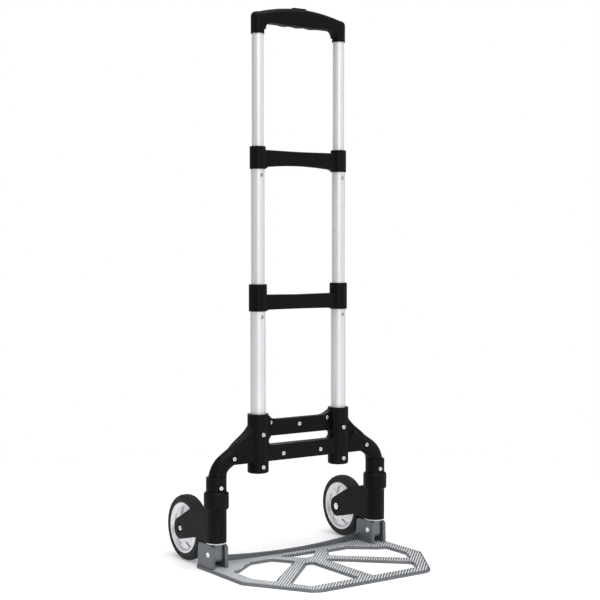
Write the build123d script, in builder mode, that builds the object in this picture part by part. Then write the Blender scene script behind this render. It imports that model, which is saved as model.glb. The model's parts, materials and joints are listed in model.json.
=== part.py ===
from build123d import *
import math
import os

os.makedirs("parts", exist_ok=True)

# Folding luggage cart. Millimetres, +Z up, +Y to the back, origin on the floor at the centre of
# the cart's footprint. Heights are above the floor. Depths are taken from the plane of the legs,
# where the tubes stand too, and are negative to the front.

# ---- driving dimensions ----
leg_x = 175.5              # each leg axis from the middle
tube_x = 88.5              # each telescopic tube from the middle
plate_half_width = 196.0
plate_front = -227.0       # front edge of the toe plate
tyre_radius = 59.0
wheel_back = 97.5          # wheel axle behind the legs
leg_y = -(plate_front + wheel_back + tyre_radius) / 2    # centres the footprint on the origin

# telescopic tubes, from the outside in
outer_radius = 13.4
mid_radius = 11.9
inner_radius = 10.4
tube_wall = 1.2
slide_gap = 0.3            # between a moving stage and what guides it
fit_gap = 0.05             # between pieces that are pressed or bolted together
outer_bottom = 167.0
outer_top = 491.5
mid_bottom = 413.0
mid_top = 735.4
inner_bottom = 668.0
inner_top = 954.0

# cross collars
lower_collar = (450.0, 498.0)      # block bottom and top
lower_block_radius = 16.2
lower_web = (452.5, 479.5)
upper_collar = (701.0, 741.0)
upper_block_radius = 14.3
upper_web = (705.0, 735.0)
web_arch = 4.0                     # rise of the upper web's arched underside

# lock pins
mid_pin_z = 440.0
inner_pin_z = 690.0
pin_radius = 3.2
cam_slope = 3.0 / 5.0              # pin travel for each millimetre of button travel

# handle
socket_radius = 12.0
handle_bottom = 938.0
handle_split = 966.0
handle_shoulder = 976.4
handle_top = 988.4
handle_underside = 957.6
button_top = 990.4
grip_half_depth = 11.8
crown_round = 8.5

# base frame
barrel_radius = 19.0
barrel_bottom = 163.0
barrel_top = 268.0
panel_half = 12.0
bar_recess = 9.0                   # the bar above the slot stands back from the panel's front
bar_half_length = 69.0
panel_bottom = 183.0
panel_top = 255.5
slot_z = 219.0
slot_half_length = 72.0
slot_height = 15.6
arm_radius = 14.75
ring_radius = 18.0
ring_bottom = 140.0
ring_top = 164.0
leg_radius = 12.5
leg_wall = 1.5
leg_bottom = 47.7
leg_bend = 40.0
arm_start = (112.0, 218.0)         # upper end of the bent leg tube, across and up
arm_corner_z = 176.9               # height at which the two straight runs would meet

# wheels and their swinging brackets
axle_z = tyre_radius
wheel_half_width = 12.0
rim_radius = 45.3
rim_half_width = 11.0
seat_radius = 41.0
hub_half_width = 13.6
bearing_radius = 8.0
axle_radius = 4.0
running_gap = 0.06
sleeve_radius = 18.0
sleeve_bottom = 49.9
sleeve_top = 138.5
collar_radius = 22.0
collar_bottom = 107.0
fork_inside = 14.5
fork_tip_radius = 19.2

# toe plate and its hinge
plate_thickness = 5.0
hinge_z = 29.0
hinge_pin_radius = 4.0
ear_inside = 10.2                  # half the gap between a pair of ears
ear_thickness = 6.2
tang_half_width = 7.5
tang_half_depth = 7.0
tang_bottom = 14.6
window_corner = 5.0                # corner radius of the openings in the plate

# screws
screw_radius = 1.5
screw_hole = 1.6
screw_head_radius = 4.0
screw_recess_radius = 5.0
screw_recess = 1.5
screw_dome = 1.6

# Fixings of the base frame: across, up, depth of the surface, depth of the screw's tip.
panel_screws = [(0, 243.7, bar_recess - panel_half, 9.0)]
for side in (-1, 1):
    panel_screws.append((side * 63.0, 250.6, bar_recess - panel_half, 9.0))
    panel_screws.append((side * 41.0, 194.5, -panel_half, 7.0))
tube_screws = []
for side in (-1, 1):
    tube_screws.append((side * tube_x, 232.0, -barrel_radius, -outer_radius + 1.0))
    tube_screws.append((side * tube_x, 174.5, -barrel_radius, -outer_radius + 1.0))
    tube_screws.append((side * 146.0, 194.0, -arm_radius + 0.6, -leg_radius + 1.2))
    tube_screws.append((side * leg_x, 146.0, -ring_radius, -leg_radius + 1.2))


# ---- planes ----
def elevation(depth=0.0):
    """Upright plane seen from the front, depth behind the legs: sketches are (across, up)."""
    return Plane(origin=(0, leg_y + depth, 0), x_dir=(1, 0, 0), z_dir=(0, -1, 0))


def side_view(x):
    """Upright plane seen from the side, at x: sketches are (back, up)."""
    return Plane(origin=(x, leg_y, 0), x_dir=(0, 1, 0), z_dir=(1, 0, 0))


def level(x, z):
    """Level plane at height z, centred on an upright axis at x in the plane of the legs."""
    return Plane(origin=(x, leg_y, z))


def save(piece, name):
    """Labels a finished piece and writes it."""
    piece.part.label = name
    export_step(piece.part, f"parts/{name}.step")


# ---- shapes that repeat ----
def upright_ring(x, z0, z1, outside, inside):
    """Ring or tube about an upright axis at x."""
    with BuildPart() as ring:
        with BuildSketch(level(x, z0)):
            Circle(outside)
            Circle(inside, mode=Mode.SUBTRACT)
        extrude(amount=z1 - z0)
    return ring.part


def front_rod(x, z, radius, start, end):
    """Round bar along Y, between two depths."""
    with BuildPart() as rod:
        with BuildSketch(elevation(start)):
            with Locations((x, z)):
                Circle(radius)
        extrude(amount=start - end)
    return rod.part


def front_screw(x, z, surface, tip):
    """Domed screw along Y whose head sits in a shallow recess of the surface."""
    facing = 1 if surface < tip else -1
    seat = surface + facing * screw_recess
    with BuildPart() as screw:
        add(front_rod(x, z, screw_radius, seat, tip))
        with BuildSketch(elevation(seat)):
            with Locations((x, z)):
                Circle(screw_head_radius)
        extrude(amount=facing * screw_dome)
        rim = screw.faces().sort_by(Axis.Y)[0 if facing > 0 else -1]
        fillet(rim.edges(), 1.2)
        with BuildSketch(elevation(seat - facing * screw_dome)):
            with Locations((x, z)):
                Rectangle(4.0, 0.8)
                Rectangle(0.8, 4.0)
        extrude(amount=-facing * 0.9, mode=Mode.SUBTRACT)
    return screw.part


def screw_cut(x, z, surface, tip):
    """Hole and recess for front_screw."""
    facing = 1 if surface < tip else -1
    with BuildPart() as cut:
        add(front_rod(x, z, screw_hole, surface - facing * 8, tip + facing * 0.3))
        add(front_rod(x, z, screw_recess_radius, surface - facing * 8, surface + facing * screw_recess))
    return cut.part


def coil_spring(start, direction, length, radius, wire, turns):
    """Helical compression spring of a given overall length, from a point along a direction."""
    run = length - 2 * wire
    with BuildPart() as spring:
        with BuildLine() as path:
            first = Vector(*start) + Vector(*direction) * wire
            Helix(pitch=run / turns, height=run, radius=radius, center=first, direction=direction)
        with BuildSketch(Plane(origin=path.line @ 0, z_dir=path.line % 0)):
            Circle(wire)
        sweep()
    return spring.part


def leg_path(side):
    """Centre line of a bent leg tube, on the elevation plane."""
    with BuildLine(elevation()) as path:
        FilletPolyline(
            (side * arm_start[0], arm_start[1]),
            (side * leg_x, arm_corner_z),
            (side * leg_x, leg_bottom),
            radius=leg_bend,
        )
    return path.line


def swept_leg(side, radius, bore=0.0):
    """Round bar or tube along a leg's centre line."""
    centre_line = leg_path(side)
    with BuildPart() as bar:
        with BuildSketch(Plane(origin=centre_line @ 0, z_dir=centre_line % 0)):
            Circle(radius)
            if bore:
                Circle(bore, mode=Mode.SUBTRACT)
        sweep(path=centre_line)
    return bar.part


# ---- base frame: front and rear shells screwed together round the tubes ----
with BuildPart() as base_body:
    with BuildSketch(elevation()) as base_outline:
        with BuildLine():
            half_top = Polyline((0, panel_top), (46, panel_top))
            saddle = RadiusArc(half_top @ 1, (72, barrel_top - 3), -42)
            shoulder = Polyline(saddle @ 1, (96, barrel_top - 3), (106, 245))
            Spline(shoulder @ 1, (119, 232), (136, 219), (160, 190), (172, ring_top))
            Line((172, ring_top), (160.5, ring_top))
            RadiusArc((160.5, ring_top), (144, panel_bottom), -17)
            Line((144, panel_bottom), (0, panel_bottom))
            mirror(about=Plane.YZ)
        make_face()
        with Locations((0, slot_z)):
            SlotOverall(2 * slot_half_length, slot_height, mode=Mode.SUBTRACT)
    extrude(amount=panel_half, both=True)
    for cap in (base_body.faces().sort_by(Axis.Y)[0], base_body.faces().sort_by(Axis.Y)[-1]):
        chamfer(cap.edges(), 1.5)
    for side in (-1, 1):
        with BuildSketch(level(side * tube_x, barrel_bottom)):
            Circle(barrel_radius)
        extrude(amount=barrel_top - barrel_bottom)
    fillet(base_body.edges().filter_by(GeomType.CIRCLE).group_by(Axis.Z)[0], 3.5)
    for side in (-1, 1):
        add(swept_leg(side, arm_radius))
        with BuildSketch(level(side * leg_x, ring_bottom)):
            Circle(ring_radius)
        extrude(amount=ring_top - ring_bottom)
        # Everything below the ring belongs to the swinging bracket.
        with BuildSketch(level(side * leg_x, ring_bottom)):
            Circle(arm_radius + 1)
        extrude(amount=-(ring_bottom - leg_bottom + 1), mode=Mode.SUBTRACT)
    with BuildSketch(elevation(-panel_half)):
        with Locations((0, slot_z + 30)):
            Rectangle(2 * bar_half_length, 60)
    extrude(amount=-bar_recess, mode=Mode.SUBTRACT)
    # hollow between the ribs, with a boss round each screw
    for height, length, depth, front, back in ((239, 100, 16, 0, 9), (196, 124, 17, -9, 9)):
        with BuildSketch(elevation(front)):
            with Locations((0, height)):
                Rectangle(length, depth)
            with Locations(*[(x, z) for x, z, surface, tip in panel_screws]):
                Circle(4.5, mode=Mode.SUBTRACT)
        extrude(amount=front - back, mode=Mode.SUBTRACT)
    for side in (-1, 1):
        with BuildSketch(level(side * tube_x, outer_bottom)):
            Circle(outer_radius + fit_gap)
        extrude(amount=barrel_top - outer_bottom, mode=Mode.SUBTRACT)
        with BuildSketch(level(side * tube_x, barrel_bottom)):
            Circle(4)
        extrude(amount=outer_bottom - barrel_bottom, mode=Mode.SUBTRACT)
        add(swept_leg(side, leg_radius + fit_gap), mode=Mode.SUBTRACT)
    for screw in panel_screws + tube_screws:
        add(screw_cut(*screw), mode=Mode.SUBTRACT)

with BuildPart() as base_front_shell:
    add(base_body.part)
    split(bisect_by=elevation(), keep=Keep.TOP)
save(base_front_shell, "base_front_shell")

with BuildPart() as base_rear_shell:
    add(base_body.part)
    split(bisect_by=elevation(), keep=Keep.BOTTOM)
save(base_rear_shell, "base_rear_shell")

with BuildPart() as base_screws:
    for screw in panel_screws + tube_screws:
        add(front_screw(*screw))
save(base_screws, "base_screws")


# ---- toe plate ----
with BuildPart() as toe_plate:
    with BuildSketch(level(0, 0)) as deck:
        with BuildLine():
            Line((0, plate_front), (106, plate_front))
            ThreePointArc((106, plate_front), (122, plate_front + 5), (133, plate_front + 17))
            Line((133, plate_front + 17), (plate_half_width, -112))
            Line((plate_half_width, -112), (plate_half_width, 33))
            Line((plate_half_width, 33), (plate_half_width - 5, 38))
            Line((plate_half_width - 5, 38), (158, 38))
            mirror(about=Plane.YZ)
            ThreePointArc((158, 38), (0, 26.5), (-158, 38))
        make_face()
    extrude(amount=plate_thickness)
    rim = toe_plate.faces().sort_by(Axis.Z)[-1].outer_wire().edges()
    chamfer(rim.filter_by(lambda edge: edge.center().Y < leg_y - 20), 1.8)

    with BuildSketch(level(0, 0)) as rear_windows:
        Polygon((38, -40), (62, -5), (107, -4), (153, -40), (168, -44), (168, -101), (146, -140), align=None)
        fillet(rear_windows.vertices(), window_corner)
        mirror(about=Plane.YZ)
    extrude(amount=plate_thickness, mode=Mode.SUBTRACT)
    with BuildSketch(level(0, 0)) as front_windows:
        Polygon((15, -64), (28, -64), (131, -164), (113, -199), (15, -200), align=None)
        fillet(front_windows.vertices(), window_corner)
        mirror(about=Plane.YZ)
    extrude(amount=plate_thickness, mode=Mode.SUBTRACT)
    with BuildSketch(level(0, 0)) as hub_window:
        Polygon((42, 4), (8, -31), (-8, -31), (-42, 4), align=None)
        fillet(hub_window.vertices(), 3)
    extrude(amount=plate_thickness, mode=Mode.SUBTRACT)

    # rear wall, bowed forward and lower in the middle
    with BuildSketch(level(0, plate_thickness - 1)):
        with BuildLine():
            ThreePointArc((158, 38), (0, 26.5), (-158, 38))
            Line((-158, 38), (-158, 33.5))
            ThreePointArc((-158, 33.5), (0, 22), (158, 33.5))
            Line((158, 33.5), (158, 38))
        make_face()
    extrude(amount=14)
    with BuildSketch(elevation()):
        with BuildLine():
            ThreePointArc((-158, 17), (0, 11), (158, 17))
            Polyline((158, 17), (158, 30), (-158, 30), (-158, 17))
        make_face()
    extrude(amount=60, both=True, mode=Mode.SUBTRACT)

    # pairs of ears that hold the hinge pins, joined by a low wall at the back
    for side in (-1, 1):
        for inner_face in (-ear_inside - ear_thickness, ear_inside):
            with BuildSketch(side_view(side * leg_x + inner_face)) as ear:
                Polygon(
                    (-12.5, 0), (-12.5, 41.5), (-6.5, 45.7), (0, 47.1), (31, 46.5),
                    (35, 42), (37, 5), (34, 0), align=None,
                )
                fillet(ear.vertices().group_by(Axis.Z)[1:], 1.5)
            extrude(amount=ear_thickness)
        with BuildSketch(level(side * leg_x, plate_thickness - 1)):
            with Locations((0, 34.5)):
                Rectangle(2 * ear_inside + 2, 5)
        extrude(amount=16)
        with BuildSketch(side_view(side * leg_x)):
            with Locations((0, hinge_z)):
                Circle(hinge_pin_radius + fit_gap)
        extrude(amount=ear_inside + ear_thickness + 1, both=True, mode=Mode.SUBTRACT)
save(toe_plate, "toe_plate")


# ---- upright tubes ----
def telescopic_tube(x, z0, z1, radius, front_holes, rear_holes):
    """Round tube with holes of (height, radius) through its front or its rear wall."""
    with BuildPart() as tube:
        add(upright_ring(x, z0, z1, radius, radius - tube_wall))
        for height, hole_radius in front_holes:
            add(front_rod(x, height, hole_radius, -radius - 2, 0), mode=Mode.SUBTRACT)
        for height, hole_radius in rear_holes:
            add(front_rod(x, height, hole_radius, 0, radius + 2), mode=Mode.SUBTRACT)
    return tube


def guide_plug(x, z0, z1, flange, radius, pin_z, cam_channel):
    """Moulded plug in a tube's lower end that carries the spring-loaded lock pin."""
    with BuildPart() as plug:
        with BuildSketch(level(x, z0)):
            Circle(flange)
        extrude(amount=4 - fit_gap)
        with BuildSketch(level(x, z0)):
            Circle(radius)
        extrude(amount=z1 - z0)
        add(front_rod(x, pin_z, pin_radius + 0.35, -flange - 1, radius - 1.2), mode=Mode.SUBTRACT)
        if cam_channel:
            with BuildSketch(level(x, pin_z - 10.5)):
                with Locations((0, -1.4)):
                    Rectangle(3.4, 12.4)
            extrude(amount=z1 - pin_z + 10.5, mode=Mode.SUBTRACT)
    return plug


side_names = {-1: "left", 1: "right"}
collar_screw_z = {"lower": 466.0, "upper": 712.0}

for side, name in side_names.items():
    x = side * tube_x
    front = [(232.0, screw_hole), (174.5, screw_hole), (mid_pin_z, 3.5)]
    outer_tube = telescopic_tube(
        x, outer_bottom, outer_top, outer_radius, front, [(collar_screw_z["lower"], screw_hole)]
    )
    save(outer_tube, f"outer_tube_{name}")

    mid_tube = telescopic_tube(
        x, mid_bottom, mid_top, mid_radius,
        [(mid_pin_z, pin_radius + 0.35), (inner_pin_z, 3.5)], [(collar_screw_z["upper"], screw_hole)],
    )
    save(mid_tube, f"mid_tube_{name}")

    inner_tube = telescopic_tube(
        x, inner_bottom, inner_top, inner_radius, [(inner_pin_z, pin_radius + 0.35)], [(946.0, screw_hole)]
    )
    save(inner_tube, f"inner_tube_{name}")

    with BuildPart() as stop_plug:
        add(upright_ring(x, outer_bottom, outer_bottom + 14, outer_radius - tube_wall - fit_gap, 5))
        add(front_rod(x, 174.5, screw_hole, -outer_radius, -5), mode=Mode.SUBTRACT)
    save(stop_plug, f"stop_plug_{name}")

    mid_plug = guide_plug(
        x, mid_bottom - 4, mid_pin_z + 14, mid_radius, mid_radius - tube_wall - fit_gap, mid_pin_z, False
    )
    save(mid_plug, f"mid_guide_plug_{name}")

    inner_plug = guide_plug(
        x, inner_bottom - 4, inner_pin_z + 12, inner_radius, inner_radius - tube_wall - fit_gap,
        inner_pin_z, True,
    )
    save(inner_plug, f"inner_guide_plug_{name}")

    # lock pins, flush with their own tube so that they stay clear as the stages slide
    with BuildPart() as mid_lock_pin:
        add(front_rod(x, mid_pin_z, pin_radius, -mid_radius, 2))
        fillet(mid_lock_pin.faces().sort_by(Axis.Y)[0].edges(), 1.2)
    save(mid_lock_pin, f"mid_lock_pin_{name}")

    with BuildPart() as inner_lock_pin:
        add(front_rod(x, inner_pin_z, pin_radius, -inner_radius, 3))
        fillet(inner_lock_pin.faces().sort_by(Axis.Y)[0].edges(), 1.2)
        # inclined slot that the cam on the release rod draws along
        with BuildSketch(side_view(x)):
            Polygon(
                (-4.2 - 4 * cam_slope, inner_pin_z - 4), (-1.1 - 4 * cam_slope, inner_pin_z - 4),
                (-1.1 + 4 * cam_slope, inner_pin_z + 4), (-4.2 + 4 * cam_slope, inner_pin_z + 4), align=None,
            )
        extrude(amount=1.3, both=True, mode=Mode.SUBTRACT)
    save(inner_lock_pin, f"inner_lock_pin_{name}")

    mid_bore_end = mid_radius - tube_wall - fit_gap - 1.2
    with BuildPart() as mid_pin_spring:
        add(coil_spring((x, leg_y + 2.3, mid_pin_z), (0, 1, 0), mid_bore_end - 2.6, 2.2, 0.35, 4))
    save(mid_pin_spring, f"mid_pin_spring_{name}")

    inner_bore_end = inner_radius - tube_wall - fit_gap - 1.2
    with BuildPart() as inner_pin_spring:
        add(coil_spring((x, leg_y + 3.3, inner_pin_z), (0, 1, 0), inner_bore_end - 3.6, 2.2, 0.3, 4))
    save(inner_pin_spring, f"inner_pin_spring_{name}")


# ---- cross collars: one moulding on each pair of tubes ----
def cross_collar(block, block_radius, tube_radius, web, web_half, arch):
    """Moulding that clamps a pair of tubes, with a web between the two blocks."""
    tube_end = block[1] - 5.6
    notch = max(web[0] - 2.5, block[0] + 1.5)
    with BuildPart() as collar:
        with BuildSketch(elevation()):
            with BuildLine():
                Line((0, web[1] - 1), (tube_x - 6, web[1]))
                Line((tube_x - 6, web[1]), (tube_x - 6, notch))
                Line((tube_x - 6, notch), (tube_x - block_radius, notch))
                Line((tube_x - block_radius, notch), (tube_x - block_radius - 4, web[0]))
                arch_foot = (tube_x - block_radius - 4, web[0])
                ThreePointArc(arch_foot, (34, web[0] + 0.75 * arch), (0, web[0] + arch))
                mirror(about=Plane.YZ)
            make_face()
        extrude(amount=web_half, both=True)
        for cap in (collar.faces().sort_by(Axis.Y)[0], collar.faces().sort_by(Axis.Y)[-1]):
            chamfer(cap.edges(), 1.2)
        for side in (-1, 1):
            with BuildSketch(level(side * tube_x, block[0])):
                Circle(block_radius)
            extrude(amount=block[1] - block[0])
        lips = collar.edges().filter_by(GeomType.CIRCLE).group_by(Axis.Z)
        fillet(lips[0] + lips[-1], 1.2)
        # moulded pockets in the back of the web
        with BuildSketch(elevation(web_half)):
            with Locations((0, (web[0] + web[1] + arch) / 2)):
                with GridLocations(34, 10, 4, 1):
                    Rectangle(29, web[1] - web[0] - arch - 8)
        extrude(amount=web_half - 2, mode=Mode.SUBTRACT)
        for side in (-1, 1):
            with BuildSketch(level(side * tube_x, block[0])):
                Circle(tube_radius + fit_gap)
            extrude(amount=block[1] - block[0], mode=Mode.SUBTRACT)
            with BuildSketch(level(side * tube_x, tube_end)):
                Circle(block_radius - 1.2)
            extrude(amount=block[1] - tube_end, mode=Mode.SUBTRACT)
    return collar


collars = {
    "lower": (lower_collar, lower_block_radius, outer_radius, lower_web, 8.5, 0.4, mid_radius),
    "upper": (upper_collar, upper_block_radius, mid_radius, upper_web, 7.5, web_arch, inner_radius),
}
for place, (block, block_radius, tube_radius, web, web_half, arch, sliding_radius) in collars.items():
    screws = [
        (side * tube_x, collar_screw_z[place], block_radius, tube_radius - 1.0) for side in (-1, 1)
    ]
    collar = cross_collar(block, block_radius, tube_radius, web, web_half, arch)
    with BuildPart() as cross_collar_piece:
        add(collar.part)
        for screw in screws:
            add(screw_cut(*screw), mode=Mode.SUBTRACT)
    save(cross_collar_piece, f"{place}_cross_collar")

    with BuildPart() as collar_screws:
        for screw in screws:
            add(front_screw(*screw))
    save(collar_screws, f"{place}_collar_screws")

    # the plain rings in the collar's top guide the next stage
    with BuildPart() as guide_rings:
        for side in (-1, 1):
            outside = block_radius - 1.2 - fit_gap
            inside = sliding_radius + slide_gap
            add(upright_ring(side * tube_x, block[1] - 5.5, block[1] - 0.5, outside, inside))
    save(guide_rings, f"{place}_guide_rings")


# ---- handle ----
def finger_line(x):
    """Height of the grip's wavy underside, level with its plain ends at 45 mm from the middle."""
    return handle_underside - 0.7 * (1 + math.cos(2 * math.pi * x / 30.0))


root_x = tube_x - socket_radius + 0.4
root_z = handle_underside - 12.0
dome_top = handle_shoulder + 0.15
with BuildPart() as handle_body:
    with BuildSketch(elevation()) as handle_outline:
        with BuildLine():
            ThreePointArc((-tube_x, handle_shoulder), (0, handle_top), (tube_x, handle_shoulder))
            Polyline(
                (tube_x, handle_shoulder), (tube_x, root_z), (root_x, root_z),
                (root_x, handle_underside), (45, handle_underside),
            )
            wave = [(x, finger_line(x)) for x in range(45, -46, -5)]
            Spline(*wave, tangents=[(-1, 0), (-1, 0)])
            Polyline(
                (-45, handle_underside), (-root_x, handle_underside), (-root_x, root_z),
                (-tube_x, root_z), (-tube_x, handle_shoulder),
            )
        make_face()
        corners = handle_outline.vertices().filter_by(lambda corner: abs(corner.Y - handle_underside) < 0.1)
        fillet(corners.filter_by(lambda corner: abs(abs(corner.X) - root_x) < 0.1), 11)
    extrude(amount=grip_half_depth, both=True)
    fronts = handle_body.faces().sort_by(Axis.Y)
    outline_edges = fronts[0].edges() + fronts[-1].edges()
    fillet(outline_edges.filter_by(lambda edge: edge.center().Z > handle_shoulder), crown_round)
    fronts = handle_body.faces().sort_by(Axis.Y)
    outline_edges = fronts[0].edges() + fronts[-1].edges()
    lower_edges = outline_edges.filter_by(lambda edge: root_z + 0.2 < edge.center().Z < handle_underside + 1)
    fillet(lower_edges.filter_by(lambda edge: abs(edge.center().X) < tube_x - 1), 3.5)
    # round sockets with domed tops
    for side in (-1, 1):
        with BuildSketch(elevation()):
            with BuildLine():
                edge_x = side * (tube_x + socket_radius)
                Polyline((side * tube_x, handle_bottom), (edge_x, handle_bottom), (edge_x, dome_top - crown_round))
                rounded_x = side * (tube_x + socket_radius - crown_round)
                RadiusArc((edge_x, dome_top - crown_round), (rounded_x, dome_top), side * -crown_round)
                Polyline((rounded_x, dome_top), (side * tube_x, dome_top), (side * tube_x, handle_bottom))
            make_face()
        revolve(axis=Axis((side * tube_x, leg_y, 0), (0, 0, 1)))
    # arched hollow for the release bar, and the bores for the tubes and the rods
    with BuildSketch(elevation()):
        with BuildLine():
            Polyline((0, 962), (58, 960.5), (74, 958), (94, 958), (94, 970.4))
            ThreePointArc((94, 970.4), (0, 984.6), (-94, 970.4))
            Polyline((-94, 970.4), (-94, 958), (-74, 958), (-58, 960.5), (0, 962))
        make_face()
    extrude(amount=6.5, both=True, mode=Mode.SUBTRACT)
    for side in (-1, 1):
        with BuildSketch(level(side * tube_x, handle_bottom)):
            Circle(inner_radius + fit_gap)
        extrude(amount=inner_top - handle_bottom, mode=Mode.SUBTRACT)
        with BuildSketch(level(side * tube_x, inner_top)):
            with Locations((0, 2.5)):
                Circle(2.5)
        extrude(amount=6, mode=Mode.SUBTRACT)
    with BuildSketch(level(0, handle_top - 8)):
        RectangleRounded(30.6, 10.6, 4)
    extrude(amount=12, mode=Mode.SUBTRACT)

socket_screws = [(side * tube_x, 946.0, socket_radius, inner_radius - 1.0) for side in (-1, 1)]
with BuildPart() as handle_grip:
    add(handle_body.part)
    split(bisect_by=Plane.XY.offset(handle_split), keep=Keep.BOTTOM)
    for screw in socket_screws:
        add(screw_cut(*screw), mode=Mode.SUBTRACT)
save(handle_grip, "handle_grip")

with BuildPart() as handle_cap:
    add(handle_body.part)
    split(bisect_by=Plane.XY.offset(handle_split), keep=Keep.TOP)
save(handle_cap, "handle_cap")

with BuildPart() as handle_screws:
    for screw in socket_screws:
        add(front_screw(*screw))
save(handle_screws, "handle_screws")


# ---- release button, bar and rods ----
with BuildPart() as release_button:
    with BuildSketch(level(0, 979.3)):
        RectangleRounded(30, 10, 3.7)
    extrude(amount=button_top - 979.3)
    fillet(release_button.faces().sort_by(Axis.Z)[-1].edges(), 1.5)
save(release_button, "release_button")

with BuildPart() as release_bar:
    with BuildSketch(elevation()):
        with BuildLine():
            ThreePointArc((-91, 963.9), (0, 975.0), (91, 963.9))
            Line((91, 963.9), (91, 968.2))
            ThreePointArc((91, 968.2), (0, 979.2), (-91, 968.2))
            Line((-91, 968.2), (-91, 963.9))
        make_face()
    extrude(amount=5, both=True)
save(release_bar, "release_bar")

for side, name in side_names.items():
    x = side * tube_x
    with BuildPart() as release_rod:
        with BuildSketch(Plane(origin=(x, leg_y + 2.5, inner_pin_z + 8.5))):
            Circle(1.5)
        extrude(amount=963.4 - inner_pin_z - 8.5)
        # flat cam at the foot of the rod, in the lock pin's inclined slot
        with BuildSketch(side_view(x)):
            Polygon(
                (-3.65 - 4 * cam_slope, inner_pin_z - 4), (-1.65 - 4 * cam_slope, inner_pin_z - 4),
                (-1.65 + 9 * cam_slope, inner_pin_z + 9), (-3.65 + 9 * cam_slope, inner_pin_z + 9), align=None,
            )
        extrude(amount=1.0, both=True)
    save(release_rod, f"release_rod_{name}")

with BuildPart() as button_spring:
    add(coil_spring((0, leg_y, 962.2), (0, 0, 1), 12.5, 3.5, 0.5, 5))
save(button_spring, "button_spring")


# ---- legs, feet and wheels ----
def tangent_point(point, centre, radius, turn):
    """Where the line from a point touches a circle, on the side that turn gives."""
    dx = centre[0] - point[0]
    dy = centre[1] - point[1]
    distance = math.hypot(dx, dy)
    angle = math.atan2(dy, dx) + turn * math.asin(radius / distance)
    length = math.sqrt(distance**2 - radius**2)
    return (point[0] + length * math.cos(angle), point[1] + length * math.sin(angle))


def across(x, z, back):
    """Plane square to X, on an axis that runs across the cart."""
    return Plane(origin=(x, leg_y + back, z), x_dir=(0, 1, 0), z_dir=(1, 0, 0))


fork_knee = (61.0, 100.0)
fork_heel = (42.0, 52.6)
axle_centre = (wheel_back, axle_z)
fork_top_tangent = tangent_point(fork_knee, axle_centre, fork_tip_radius, 1)
fork_low_tangent = tangent_point(fork_heel, axle_centre, fork_tip_radius, -1)
fork_recess = 2.2

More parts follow.
